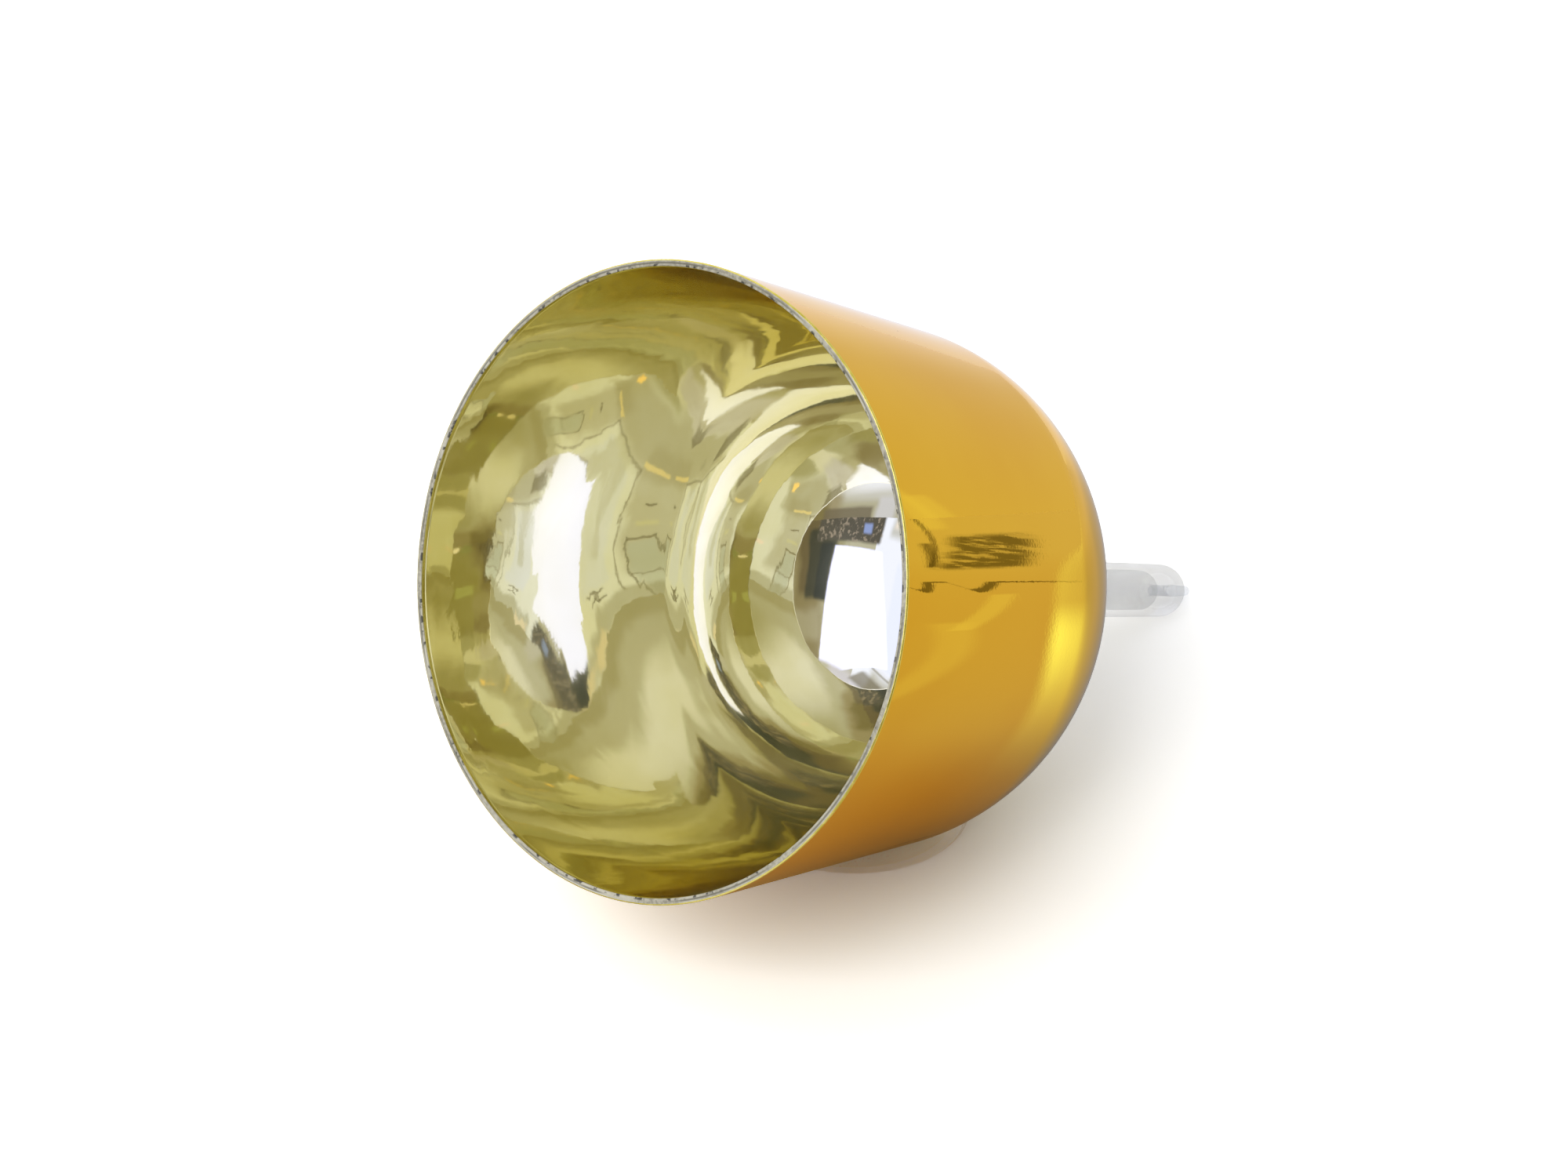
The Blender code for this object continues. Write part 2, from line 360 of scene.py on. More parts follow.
def lip_gold():
    """The coated outer edge of the lip, which catches the light as a thin yellow-green line."""
    made, tree, out = new_material("polished_lip")
    place, radius, depth = turned_place(tree)
    grain = speckle(tree, place, 260.0, 3.0, 0.6)
    colour = mixed(tree, smooth(tree, grain, 0.35, 0.65), (0.78, 0.66, 0.13, 1), (0.88, 0.76, 0.22, 1))
    shader = node(
        tree,
        "ShaderNodeBsdfPrincipled",
        {"Base Color": colour, "Metallic": 1.0, "Roughness": smooth(tree, grain, 0.3, 0.7, 0.16, 0.30)},
    )
    tree.links.new(shader.outputs[0], out.inputs[0])
    return made


def clear_glass():
    """Fire-polished clear quartz with a faint smoke and drawing lines along the tube."""
    made, tree, out = new_material("clear_quartz")
    place, radius, depth = turned_place(tree)
    stretched = node(tree, "ShaderNodeMapping", {"Vector": place, "Scale": (1.0, 1.0, 0.06)}).outputs[0]
    lines = speckle(tree, stretched, 700.0, 3.0, 0.6)
    cloud = speckle(tree, place, 90.0, 3.0, 0.5)
    normal = bumped(tree, lines, 0.00002)
    colour = mixed(tree, smooth(tree, cloud, 0.3, 0.7), (0.93, 0.94, 0.94, 1), (0.98, 0.985, 0.98, 1))
    glass = node(
        tree,
        "ShaderNodeBsdfPrincipled",
        {
            "Base Color": colour,
            "Roughness": smooth(tree, cloud, 0.3, 0.7, 0.02, 0.07),
            "IOR": 1.458,
            "Transmission Weight": 1.0,
            "Normal": normal,
        },
    )
    milk = node(tree, "ShaderNodeBsdfTranslucent", {"Color": (0.975, 0.97, 0.955, 1)})
    clear = node(tree, "ShaderNodeBsdfTransparent", {"Color": (0.988, 0.986, 0.981, 1)})
    soft = node(tree, "ShaderNodeMixShader", {0: 0.88, 1: milk.outputs[0], 2: clear.outputs[0]})
    both = node(tree, "ShaderNodeMixShader", {0: 0.80, 1: glass.outputs[0], 2: soft.outputs[0]})
    tree.links.new(both.outputs[0], out.inputs[0])
    return made


def soft_plug():
    """Cloudy, slightly blue soft plastic with a matt moulded skin."""
    made, tree, out = new_material("soft_clear_plug")
    place, radius, depth = turned_place(tree)
    grain = speckle(tree, place, 1500.0, 3.0, 0.6)
    cloud = speckle(tree, place, 320.0, 2.0, 0.5)
    colour = mixed(tree, smooth(tree, cloud, 0.35, 0.65), (0.88, 0.92, 0.98, 1), (0.95, 0.97, 1.0, 1))
    shader = node(
        tree,
        "ShaderNodeBsdfPrincipled",
        {
            "Base Color": colour,
            "Roughness": smooth(tree, grain, 0.3, 0.7, 0.32, 0.48),
            "IOR": 1.41,
            "Transmission Weight": 0.25,
            "Subsurface Weight": 0.4,
            "Subsurface Radius": (0.002, 0.002, 0.0025),
            "Subsurface Scale": 1.0,
            "Normal": bumped(tree, grain, 0.00002),
        },
    )
    clear = node(tree, "ShaderNodeBsdfTransparent", {"Color": (0.955, 0.965, 0.985, 1)})
    both = node(tree, "ShaderNodeMixShader", {0: 0.85, 1: shader.outputs[0], 2: clear.outputs[0]})
    tree.links.new(both.outputs[0], out.inputs[0])
    return made


def clear_cord():
    """Clear silicone with a warm grey body, a matt moulded skin and fine dust."""
    made, tree, out = new_material("clear_silicone")
    place, radius, depth = turned_place(tree)
    grain = speckle(tree, place, 1300.0, 3.0, 0.6)
    dust = smooth(tree, speckle(tree, place, 520.0, 2.0, 0.7), 0.66, 0.72)
    colour = mixed(tree, maths(tree, "MULTIPLY", dust, 0.5), (0.95, 0.935, 0.89, 1), (0.98, 0.98, 0.97, 1))
    body = node(
        tree,
        "ShaderNodeBsdfPrincipled",
        {
            "Base Color": colour,
            "Roughness": smooth(tree, grain, 0.3, 0.7, 0.16, 0.28),
            "IOR": 1.20,
            "Transmission Weight": 0.96,
            "Normal": bumped(tree, grain, 0.000015),
        },
    )
    clear = node(tree, "ShaderNodeBsdfTransparent", {"Color": (0.985, 0.975, 0.945, 1)})
    both = node(tree, "ShaderNodeMixShader", {0: 0.80, 1: body.outputs[0], 2: clear.outputs[0]})
    tree.links.new(both.outputs[0], out.inputs[0])
    return made


# ---------------------------------------------------------------- the bowl
def ripple(angle, radius, depth):
    """Low waves in the blown wall, in metres along the surface normal."""
    p = Vector((math.cos(angle) * radius, math.sin(angle) * radius, depth))
    wide = noise.noise(p * 24.0 + Vector((3.1, 7.7, 1.3)))
    fine = noise.noise(p * 60.0 + Vector((9.1, 2.7, 5.3)))
    return 0.00016 * wide + 0.00004 * fine


def build_bowl():
    dense = dense_outer()
    outside = [p for p in evenly(dense, 150) if p[1] > 0.0008]
    inside = [p for p in evenly(inner_of(dense), 190) if p[1] > 0.0008]
    outside[-1] = (0.0, BOWL_DEPTH)
    inside[-1] = (0.0, BOWL_DEPTH - WALL_AT_BOTTOM)
    # the lip: a polished outer edge, the ground face and a broken inner edge
    outer_edge = [(bowl_radius(d), d) for d in (0.0008, 0.00052)]
    lip = [(RIM_RADIUS - 0.00006, 0.00030), (RIM_RADIUS - 0.00018, 0.00014), (RIM_RADIUS - 0.00034, 0.00004)]
    face = [(RIM_RADIUS - 0.00048, 0.0), (RIM_RADIUS - 0.00080, 0.0), (RIM_RADIUS - 0.00120, 0.0), (RIM_RADIUS - 0.00165, 0.0)]
    broken = [(RIM_RADIUS - WALL_AT_RIM + 0.00012, 0.00008), (RIM_RADIUS - WALL_AT_RIM - 0.00002, 0.00028)]
    rows = [(r, z, 0) for r, z in reversed(outside)] + [(outer_edge[0][0], outer_edge[0][1], 0), (outer_edge[1][0], outer_edge[1][1], 3)]
    rows += [(r, z, 3) for r, z in lip] + [(r, z, 1) for r, z in face] + [(broken[0][0], broken[0][1], 1), (broken[1][0], broken[1][1], 2)]
    first_inside = len(rows)
    rows += [(r, z, 2) for r, z in inside]

    def shift(angle, k, radius, depth):
        if k < first_inside:
            return 0.0, 0.0
        a, b = rows[max(k - 1, first_inside)], rows[min(k + 1, len(rows) - 1)]
        along = Vector((b[0] - a[0], b[1] - a[1])).normalized()
        fade = min(1.0, depth / 0.006)
        h = ripple(angle, radius, depth) * fade
        return -along.y * h, along.x * h

    made = lathe("bowl_shell_fine", rows, 384, "bowl", "bowl_shell", shift)
    for m in (gold_outside(), ground_rim(), mirror_inside(), lip_gold()):
        made.data.materials.append(m)
    return made


build_bowl()


# ---------------------------------------------------------------- handle, plug, ring
def arc(centre, radius, start, end, count):
    return [
        (radius * math.cos(start + (end - start) * i / count), centre + radius * math.sin(start + (end - start) * i / count))
        for i in range(count + 1)
    ]


def build_handle():
    start = bowl_depth_at(FLARE_RADIUS) + GAP
    points = []
    for i in range(9):
        r = BORE_RADIUS + (FLARE_RADIUS - BORE_RADIUS) * i / 8
        points.append((r, bowl_depth_at(r) + GAP))
    lip = 0.0006
    for i in range(25):
        turn = 0.5 * math.pi * i / 24
        points.append(
            (
                FLARE_RADIUS - (FLARE_RADIUS - HANDLE_RADIUS) * math.sin(turn),
                start + lip + FLARE_HEIGHT * (1.0 - math.cos(turn)),
            )
        )
    points += arc(HANDLE_END_CENTRE, HANDLE_RADIUS, 0.0, math.acos(VENT_RADIUS / HANDLE_RADIUS), 32)
    points += arc(BORE_END_CENTRE, BORE_RADIUS, math.acos(VENT_RADIUS / BORE_RADIUS), 0.0, 28)
    made = lathe("handle_tube_fine", [(r, z, 0) for r, z in points], 128, "bowl", "handle_tube")
    made.data.materials.append(clear_glass())
    return made


def build_plug():
    seat = HANDLE_END_CENTRE + HANDLE_RADIUS + GAP
    tip = arc(PLUG_TIP_CENTRE, PLUG_TIP_RADIUS, 0.0, 0.5 * math.pi, 12)
    tip[-1] = (0.0, PLUG_TIP_CENTRE + PLUG_TIP_RADIUS)
    points = [
        (0.0, PLUG_STEM_START),
        (PLUG_STEM_RADIUS * 0.85, PLUG_STEM_START),
        (PLUG_STEM_RADIUS, PLUG_STEM_START + 0.0003),
        (PLUG_STEM_RADIUS, seat - 0.0001),
        (PLUG_BASE_RADIUS * 0.95, seat),
        (PLUG_BASE_RADIUS, seat + 0.0002),
        (PLUG_BASE_RADIUS * 0.97, seat + 0.0020),
        (PLUG_BASE_RADIUS * 0.93, seat + 0.0035),
    ] + tip
    made = lathe("vent_plug_fine", [(r, z, 0) for r, z in points], 64, "bowl", "vent_plug")
    made.data.materials.append(soft_plug())
    return made


def build_ring():
    low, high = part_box("rest_ring")
    outer = (high.x - low.x) / 2
    cord = 0.0040
    flat = 0.0004
    middle, height = outer - cord, cord - flat
    start = math.asin(-height / cord)
    points = [(middle + r, z) for r, z in arc(height, cord, start, math.pi - start, 40)]
    at = Matrix.Translation(((low.x + high.x) / 2, 0, 0))
    made = lathe("rest_ring_fine", [(r, z, 0) for r, z in points], 192, "ring", "rest_ring", at=at)
    made.data.materials.append(clear_cord())
    return made


build_handle()
build_plug()
build_ring()


# ---------------------------------------------------------------- camera
def photo_camera():
    """Camera from the perspective fit: rim centre and axis in camera space, in rim radii."""
    focal, depth, tilt, turn = 2778.0, 6.75569, 0.64971, 0.01438
    cx, cy = 816.656, 742.306
    rise = math.radians(25.86)
    centre = Vector(((cx - 1000) / focal * depth, (cy - 750) / focal * depth, depth)) * RIM_RADIUS
    v = Vector((math.sin(tilt) * math.cos(turn), math.sin(tilt) * math.sin(turn), math.cos(tilt)))
    up = Vector((0.0, -math.cos(rise), -math.sin(rise)))
    ahead = (v - v.dot(up) * up).normalized()
    across = up.cross(ahead)
    to_camera = Matrix((ahead, across, up)).transposed()  # world to camera, x right, y down, z forward
    place = RIM_CENTRE - to_camera.transposed() @ centre
    data = bpy.data.cameras.new("camera")
    data.sensor_width = 36.0
    data.lens = focal / 2000 * 36.0
    data.clip_start, data.clip_end = 0.01, 50.0
    made = bpy.data.objects.new("camera", data)
    scene.collection.objects.link(made)
    right, down, forward = to_camera[0], to_camera[1], to_camera[2]
    made.matrix_world = Matrix.Translation(place) @ Matrix(
        ((right[0], -down[0], -forward[0], 0), (right[1], -down[1], -forward[1], 0), (right[2], -down[2], -forward[2], 0), (0, 0, 0, 1))
    )
    scene.camera = made
    return made


camera = photo_camera()


# ---------------------------------------------------------------- floor and light
DEGREES = 180.0 / math.pi
# True: mirror surfaces see a made-up room and a patterned floor in place of the plain floor and light.
# False: mirror surfaces see the plain floor and light that light the object. The camera sees both whiter either way.
ROOM_IN_MIRRORS = True
FLOOR_GAIN = 1.39
PANEL = 6.6
PANEL_SEEN = 1.20


class Room:
    """Colours by direction: turn is measured from the mouth side (-X) towards -Y, back is the same less
    180 degrees, and rise is the height over the floor, all in degrees."""

    def __init__(self, tree, ray):
        self.tree = tree
        self.ray = ray
        x, y, z = node(tree, "ShaderNodeSeparateXYZ", {0: ray}).outputs
        self.turn = self.turn_of(x, y, -1.0)
        self.back = self.turn_of(x, y, 1.0)
        self.rise = maths(tree, "MULTIPLY", maths(tree, "ARCSINE", z), DEGREES)
        blown = node(tree, "ShaderNodeTexNoise", {"Vector": ray, "Scale": 5.0, "Detail": 1.0})
        parts = node(tree, "ShaderNodeSeparateColor", {0: blown.outputs["Color"]})
        self.wobble = maths(tree, "MULTIPLY", maths(tree, "SUBTRACT", parts.outputs[0], 0.5), 9.0)
        self.wobble_rise = maths(tree, "MULTIPLY", maths(tree, "SUBTRACT", parts.outputs[1], 0.5), 7.0)
        self.colour = (1, 1, 1, 1)

    def turn_of(self, x, y, sign):
        flat = maths(self.tree, "ARCTAN2", maths(self.tree, "MULTIPLY", y, sign), maths(self.tree, "MULTIPLY", x, sign))
        return maths(self.tree, "MULTIPLY", flat, DEGREES)

    def window(self, t0, t1, r0, r1, soft=1.5, lean=0.0, loose=0.0, back=False):
        """1 inside a patch of the room. lean moves the patch sideways with height, loose roughens its outline."""
        tree = self.tree
        t, r = (self.back if back else self.turn), self.rise
        if lean:
            t = maths(tree, "SUBTRACT", t, maths(tree, "MULTIPLY", maths(tree, "SUBTRACT", r, 0.5 * (r0 + r1)), lean))
        if loose:
            t = maths(tree, "ADD", t, maths(tree, "MULTIPLY", self.wobble, loose))
            r = maths(tree, "ADD", r, maths(tree, "MULTIPLY", self.wobble_rise, loose))
        m = 1.0
        for value, edge, way in ((t, t0, 1), (t, t1, -1), (r, r0, 1), (r, r1, -1)):
            if abs(edge) < 175:
                m = maths(tree, "MULTIPLY", smooth(tree, value, edge - way * soft, edge + way * soft), m)
        return m

    def past(self, mask, across, level, steepness, falling=False):
        """mask times a soft half plane: turn beyond across at this rise, leaning with steepness."""
        tree = self.tree
        edge = maths(tree, "SUBTRACT", maths(tree, "SUBTRACT", self.turn, across), maths(tree, "MULTIPLY", maths(tree, "SUBTRACT", self.rise, level), steepness))
        side = smooth(tree, edge, 0.8, -0.8) if falling else smooth(tree, edge, -0.8, 0.8)
        return maths(tree, "MULTIPLY", mask, side)

    def put(self, colour, mask, share=1.0):
        if share < 1.0:
            mask = maths(self.tree, "MULTIPLY", mask, share)
        self.colour = mixed(self.tree, mask, self.colour, (colour[0], colour[1], colour[2], 1))

    def big_light(self):
        panel = self.window(-60, 60, 10.0, 90.0, 0.5)  # narrower at its foot
        panel = maths(self.tree, "MULTIPLY", panel, smooth(self.tree, self.rise, 58.0, 54.5))
        panel = self.past(panel, -4.0, 10.0, -0.50)
        panel = self.past(panel, 23.5, 10.0, 0.14, True)
        return self.past(panel, -20.0, 42.0, 1.9)


def floor():
    """White paper. In mirror surfaces it also shows painted light and shade on it, where the paper ends and the dark
    things past it.
    """
    mesh = bpy.data.meshes.new("floor")
    s = 6.0
    mesh.from_pydata([(-s, -s, 0), (s, -s, 0), (s, s, 0), (-s, s, 0)], [], [(0, 1, 2, 3)])
    made = bpy.data.objects.new("floor", mesh)
    scene.collection.objects.link(made)
    m, tree, out = new_material("floor")
    path = node(tree, "ShaderNodeLightPath")
    place = node(tree, "ShaderNodeTexCoord").outputs["Object"]
    x, y, _ = node(tree, "ShaderNodeSeparateXYZ", {0: place}).outputs

    # plain paper, as the camera and the light see it
    grain = smooth(tree, speckle(tree, place, 900.0, 2.0), 0.3, 0.7, 0.985, 1.0)
    white = maths(tree, "MULTIPLY", grain, FLOOR_GAIN)
    plain = mixed(tree, path.outputs["Is Camera Ray"], (0.88, 0.88, 0.87, 1), node(tree, "ShaderNodeCombineXYZ", {0: white, 1: white, 2: white}).outputs[0])
    plain = node(tree, "ShaderNodeBsdfDiffuse", {"Color": plain})
    if not ROOM_IN_MIRRORS:
        tree.links.new(plain.outputs[0], out.inputs[0])
        mesh.materials.append(m)
        return

    # the paper as mirrors see it, with painted light and shade
    incoming = node(tree, "ShaderNodeNewGeometry").outputs["Incoming"]
    ray = node(tree, "ShaderNodeVectorMath", {0: incoming, "Scale": -1.0}, operation="SCALE").outputs[0]
    room = Room(tree, ray)
    room.colour = (0.92, 0.93, 1.03, 1)
    aside = maths(tree, "ABSOLUTE", room.turn)
    room.put((0.47, 0.45, 0.31), smooth(tree, aside, 8, 48), 0.95)
    right = smooth(tree, x, -0.20, -0.08)
    room.put((0.73, 0.665, 0.58), right)
    # the light that the bowl throws beside the handle: a sharp bright edge, fading behind it
    dx, dy = maths(tree, "SUBTRACT", x, 0.120), maths(tree, "ADD", y, 0.162)
    along = maths(tree, "ADD", maths(tree, "MULTIPLY", dx, 920.0), maths(tree, "MULTIPLY", dy, -390.0))
    across = maths(tree, "ADD", maths(tree, "MULTIPLY", dx, 390.0), maths(tree, "MULTIPLY", dy, 920.0))
    before = maths(tree, "MAXIMUM", maths(tree, "SUBTRACT", 20.0, along), 0.0)
    after = maths(tree, "MAXIMUM", maths(tree, "SUBTRACT", along, 20.0), 0.0)
    curve = maths(tree, "ADD", maths(tree, "MULTIPLY", maths(tree, "POWER", before, 2.0), 0.000556), maths(tree, "MULTIPLY", maths(tree, "POWER", after, 1.75), 0.00101))
    across = maths(tree, "SUBTRACT", across, maths(tree, "SUBTRACT", curve, 7.5))
    room.put((0.58, 0.58, 0.62), maths(tree, "MULTIPLY", right, smooth(tree, across, 0, 55)))
    room.put((0.47, 0.50, 0.57), maths(tree, "MULTIPLY", right, smooth(tree, y, -0.12, -0.05)), 0.9)
    room.put((0.78, 0.775, 0.80), maths(tree, "MULTIPLY", right, smooth(tree, x, 0.20, 1.0)))
    room.put((0.97, 1.02, 1.18), maths(tree, "MULTIPLY", right, smooth(tree, y, 0.02, 0.26)))
    # painted shadow of the bowl round the ring, tinted by painted golden bounce light, seen only in mirrors
    dx = maths(tree, "ADD", x, 0.043)
    near = maths(tree, "SQRT", maths(tree, "ADD", maths(tree, "MULTIPLY", dx, dx), maths(tree, "MULTIPLY", y, y)))
    warm = maths(tree, "MULTIPLY", smooth(tree, near, 0.150, 0.075), smooth(tree, x, 0.02, -0.06))
    room.put((0.68, 0.475, 0.190), maths(tree, "MULTIPLY", warm, smooth(tree, x, -0.26, -0.16)))
    fade = maths(tree, "EXPONENT", maths(tree, "MULTIPLY", maths(tree, "MAXIMUM", maths(tree, "SUBTRACT", across, 6.0), 0.0), -0.05))
    peak = maths(tree, "MULTIPLY", smooth(tree, along, -170, 30), smooth(tree, along, 40, 200, 1.0, 0.26))
    ridge = maths(tree, "MULTIPLY", maths(tree, "MULTIPLY", smooth(tree, across, 0.0, 7.0), fade), peak)
    room.put((1.32, 1.84, 1.65), maths(tree, "MULTIPLY", ridge, right))
    # bright patches thrown on the handle's side
    room.put((0.98, 1.10, 0.95), room.window(-25.75, -25.05, -20.5, -14.0, 0.15, 0.45, 0.02, True), 0.40)
    room.put((0.98, 1.08, 0.95), room.window(-28.15, -27.05, -34, -19.0, 0.35, 0.10, 0.03, True), 0.30)
    room.put((0.98, 1.08, 0.95), room.window(-16.7, -15.7, -3.0, 5.0, 0.3, 0.8, 0.05, True), 0.5)
    # the paper's edge and the dark things past it
    edge = maths(tree, "ADD", room.rise, maths(tree, "MULTIPLY", maths(tree, "ADD", room.back, 25.4), 0.22))
    dips = 0.0
    for start, end in ((-25.9, -24.9), (-24.5, -23.1)):
        dip = maths(tree, "MULTIPLY", smooth(tree, room.back, end, start), smooth(tree, room.back, start - 0.10, start))
        dips = maths(tree, "ADD", dip, dips)
    off = maths(tree, "ADD", maths(tree, "ADD", edge, 11.25), maths(tree, "MULTIPLY", dips, 1.7))
    off = maths(tree, "ABSOLUTE", maths(tree, "ADD", off, maths(tree, "MULTIPLY", room.wobble_rise, 0.05)))
    thick = maths(tree, "ADD", 0.12, maths(tree, "MULTIPLY", smooth(tree, dips, 0.0, 0.2), 0.24))
    line = maths(tree, "MULTIPLY", smooth(tree, maths(tree, "DIVIDE", off, thick), 1.3, 0.6), smooth(tree, room.back, -33, -28))
    line = maths(tree, "MULTIPLY", line, smooth(tree, room.back, -20.6, -22.4))
    room.put((0.66, 0.60, 0.46), maths(tree, "MULTIPLY", right, smooth(tree, edge, -11.6, -10.9)), 0.08)
    room.put((0.13, 0.12, 0.07), maths(tree, "MULTIPLY", line, right), 0.85)
    gaps = smooth(tree, speckle(tree, ray, 75.0, 2.0, 0.6), 0.36, 0.52, 0.25, 1.0)
    dark = maths(tree, "MULTIPLY", room.window(-21.70, -18.9, -9.2, -4.1, 0.42, 0.80, 0.10, True), gaps)
    room.put((0.12, 0.115, 0.06), dark, 0.84)
    room.put((0.10, 0.09, 0.05), room.window(-21.16, -21.00, -8.9, -1.2, 0.07, 0.69, 0, True), 0.7)
    room.put((0.10, 0.09, 0.05), room.window(-22.62, -22.30, -8.8, -5.0, 0.16, 0.60, 0.02, True), 0.75)
    # what lies beyond the paper on the mouth's side
    left = smooth(tree, x, -0.3, -0.5)
    room.put((0.56, 0.545, 0.47), maths(tree, "MULTIPLY", left, room.window(-90, 90, -18, 3, 3.5, 0, 0.5)), 0.85)
    room.put((0.45, 0.42, 0.28), maths(tree, "MULTIPLY", left, room.window(-90, 90, -7.5, 3, 2.0)), 0.85)
    room.put((0.66, 0.65, 0.68), maths(tree, "MULTIPLY", left, room.window(-5, 4, -9, 3, 1.5, 0, 0.3)), 0.9)
    room.put((0.38, 0.33, 0.21), room.window(24, 80, -12, 5, 3.0, 0, 0.6))
    room.put((0.23, 0.19, 0.08), room.window(31, 46, -8.5, 5, 2.5, 0, 0.6))
    room.put((0.18, 0.15, 0.10), room.window(6, 33, -5.0, 2, 1.0, 0, 0.25), 0.85)
    mirrored = node(tree, "ShaderNodeBsdfDiffuse", {"Color": room.colour})
    both = node(tree, "ShaderNodeMixShader", {0: path.outputs["Is Glossy Ray"], 1: plain.outputs[0], 2: mirrored.outputs[0]})
    tree.links.new(both.outputs[0], out.inputs[0])
    mesh.materials.append(m)


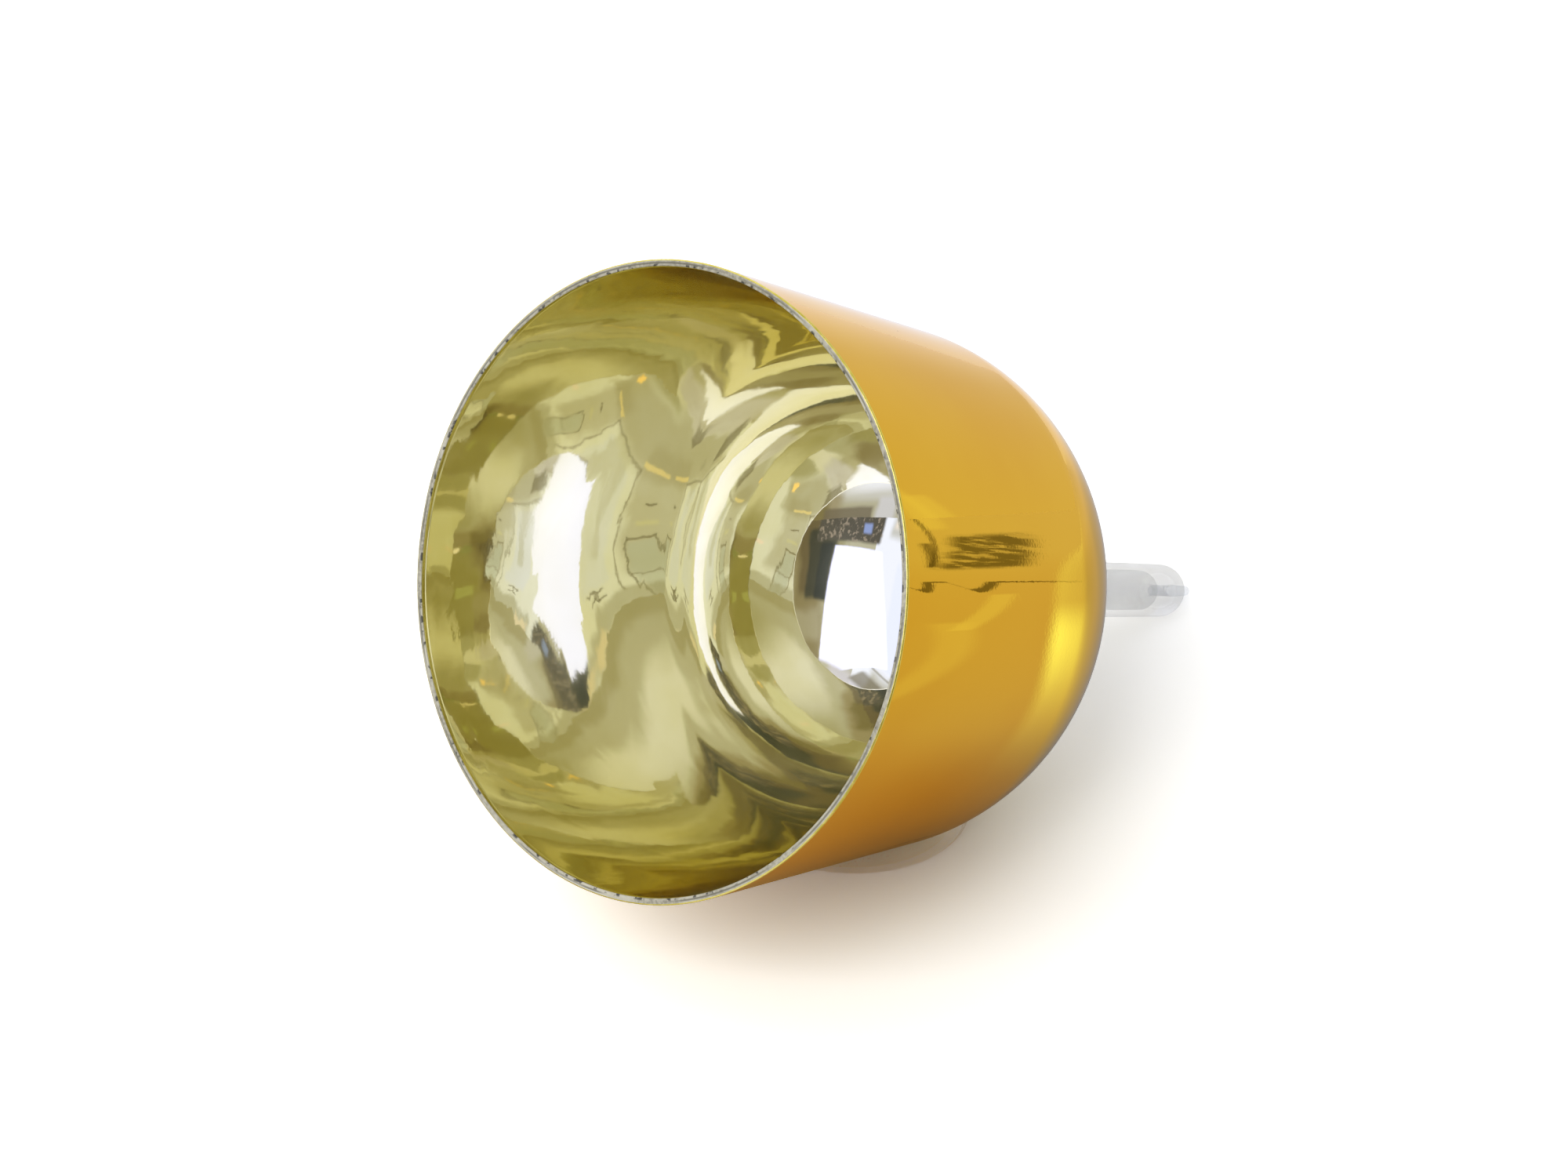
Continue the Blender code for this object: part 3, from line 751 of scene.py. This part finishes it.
def world():
    """A white studio whose light comes mostly from the mouth and camera side. Mirror surfaces also see its walls."""
    w = bpy.data.worlds.new("studio")
    scene.world = w
    w.use_nodes = True
    tree = w.node_tree
    for n in list(tree.nodes):
        tree.nodes.remove(n)
    out = tree.nodes.new("ShaderNodeOutputWorld")
    ray = node(tree, "ShaderNodeTexCoord").outputs["Generated"]
    path = node(tree, "ShaderNodeLightPath")

    room = Room(tree, ray)
    cloud = speckle(tree, ray, 3.0, 3.0, 0.62, 0.8)
    room.colour = mixed(tree, smooth(tree, cloud, 0.36, 0.64), (0.34, 0.315, 0.17, 1), (0.53, 0.505, 0.37, 1))
    room.put((0.39, 0.36, 0.16), room.window(50, 118, -90, 66, 7, 0, 1), 0.9)  # brown wall to the right
    room.put((0.80, 0.79, 0.76), room.window(-70, 70, -90, 80, 14, 0, 1, True))  # pale far side
    room.put((0.97, 1.0, 1.15), smooth(tree, room.back, 14, 34))
    room.put((0.98, 1.08, 0.95), room.window(-16.7, -15.7, -3.0, 5.0, 0.3, 0.8, 0.05, True), 0.5)
    room.put((0.98, 1.08, 0.95), room.window(-17.1, -16.0, -2.0, 1.6, 0.25, 0.8, 0.05, True), 0.45)
    room.put((0.52, 0.51, 0.38), room.window(-200, 200, 68, 95, 4, 0, 1))  # ceiling
    room.put((0.90, 0.89, 0.88), room.window(-26, 28, 68, 95, 5, 0, 1), 0.9)
    room.put((0.46, 0.43, 0.30), room.window(-60, -12, 46, 67, 3, 0, 0.8), 0.7)
    room.put((0.70, 0.68, 0.80), room.window(-12, 19, 56, 72, 4, 0, 0.8), 0.9)
    room.put((0.29, 0.24, 0.12), room.window(29, 50, -10, 62, 4, 0, 0.8))  # brown on the camera side
    room.put((0.43, 0.39, 0.26), room.window(30, 56, 35, 48, 3, 0.2, 0.8), 0.9)
    room.put((0.15, 0.115, 0.055), room.window(31, 45, -8, 29, 2.5, 0, 0.6), 0.9)
    room.put((0.055, 0.058, 0.042), room.window(24, 39, 3, 31, 1.5, 0.1, 0.5), 0.9)
    room.put((0.50, 0.47, 0.36), room.window(-56, -36, 10, 56, 3, 0.1, 0.8), 0.6)
    room.put((0.90, 0.95, 1.30), room.window(-30.0, -13, 11, 43, 1.0, 0, 0.35), 0.80)  # second pale panel
    room.put((0.60, 0.59, 0.50), room.window(-27, -21, 20, 46, 1.0, -0.15, 0.5), 0.5)
    room.put((0.26, 0.23, 0.14), room.window(-35.0, -34.0, 4, 47, 0.4, 0, 0.12), 0.7)  # frames and lines
    room.put((0.26, 0.23, 0.14), room.window(-35.0, -12, 45.6, 46.6, 0.4, 0, 0.12), 0.6)
    room.put((0.62, 0.67, 0.74), room.window(-47.5, -40.0, -3, 23, 0.6, 0, 0.15), 0.7)  # small window
    room.put((0.22, 0.20, 0.12), room.window(-48.6, -47.8, -4, 25, 0.25, 0, 0.08), 0.8)
    room.put((0.22, 0.20, 0.12), room.window(-39.7, -39.0, -4, 25, 0.25, 0, 0.08), 0.8)
    room.put((0.30, 0.27, 0.18), room.window(-48.6, -39.0, 9.6, 10.4, 0.3, 0, 0.10), 0.6)
    room.put((0.24, 0.21, 0.13), room.window(-48.6, -39.0, 23.6, 24.5, 0.25, 0, 0.08), 0.8)
    room.put((1.10, 0.92, 0.55), room.window(-50, -34, 47.6, 49.2, 0.4, 0.1, 0.10), 0.8)
    room.put((0.80, 0.78, 0.62), room.window(-49, -42, 29, 31, 0.5, 0, 0.10), 0.8)
    room.put((0.20, 0.17, 0.09), room.window(-48, -43, 37.0, 37.9, 0.3, 0, 0.10), 0.8)
    room.put((0.20, 0.17, 0.09), room.window(-25.5, -17.0, 9.9, 10.6, 0.25, 0, 0.06), 0.8)
    room.put((0.20, 0.17, 0.09), room.window(-25.5, -17.0, 7.2, 7.9, 0.25, 0, 0.06), 0.8)
    room.put((0.20, 0.17, 0.09), room.window(-22.0, -21.0, 7.2, 10.6, 0.25, 0, 0.06), 0.8)
    room.put((1.45, 1.35, 1.45), room.window(57.5, 63.5, 0.2, 2.4, 0.4, 0, 0.10), 0.9)
    room.put((1.20, 1.00, 1.15), room.window(-70, -63, 22.4, 25.0, 0.5, 0, 0.10), 0.8)
    room.put((0.34, 0.37, 0.17), room.window(48, 56, -6, 4, 1.0, 0, 0.3), 0.8)
    room.put((0.56, 0.60, 0.30), room.window(58, 68, 30, 38, 1.0, 0, 0.4), 0.8)
    shelf = speckle(tree, ray, 26.0, 2.0, 0.6)
    room.put((0.42, 0.40, 0.27), room.window(-70, -6, -1.5, 5.0, 1.5, 0, 0.5), 0.6)
    room.put((0.11, 0.10, 0.08), room.window(-2, 34, -1.5, 8.0, 0.8, 0, 0.25))  # dark band along the horizon
    room.put((0.40, 0.33, 0.26), maths(tree, "MULTIPLY", room.window(-2, 34, -1, 8, 1), smooth(tree, shelf, 0.50, 0.64)), 0.8)
    room.put((0.30, 0.38, 0.70), room.window(4, 9, 1.5, 5.0, 0.7, 0, 0.3))
    room.put((1.10, 0.95, 0.82), room.window(-16, -7, -1.5, 2.5, 1.0, 0, 0.5), 0.7)
    room.put((0.040, 0.045, 0.038), room.window(26, 33, 9, 31, 1.0, 0.1, 0.4))
    room.put((1.70, 1.15, 0.42), room.window(-55, -50, 60, 65, 1.0, 0, 0.3), 0.8)
    room.put((0.20, 0.17, 0.10), room.window(-20, -3, 50, 58, 1.5, 1.2, 0.3), 0.8)
    panel = room.big_light()
    room.put((PANEL_SEEN, 1.03 * PANEL_SEEN, 1.55 * PANEL_SEEN), panel)
    room_seen = node(tree, "ShaderNodeBackground", {"Color": room.colour, "Strength": 1.0})

    towards = node(tree, "ShaderNodeVectorMath", {0: ray, 1: (-0.45, 0.74, 0.50)}, operation="DOT_PRODUCT").outputs["Value"]
    ambient = smooth(tree, towards, -0.6, 0.9, 0.12, 0.90)
    shade = node(tree, "ShaderNodeCombineXYZ", {0: ambient, 1: ambient, 2: ambient}).outputs[0]
    light = mixed(tree, panel, shade, (PANEL, PANEL, PANEL, 1))
    light = mixed(tree, path.outputs["Is Camera Ray"], light, (1.02, 1.02, 1.02, 1))
    light = node(tree, "ShaderNodeBackground", {"Color": light, "Strength": 1.0})
    if not ROOM_IN_MIRRORS:
        tree.links.new(light.outputs[0], out.inputs[0])
        return
    shown = node(tree, "ShaderNodeMixShader", {0: path.outputs["Is Glossy Ray"], 1: light.outputs[0], 2: room_seen.outputs[0]})
    tree.links.new(shown.outputs[0], out.inputs[0])


floor()
world()

scene.view_settings.view_transform = "Standard"
scene.cycles.max_bounces = 26
scene.cycles.glossy_bounces = 24
scene.cycles.transmission_bounces = 10
scene.cycles.diffuse_bounces = 3
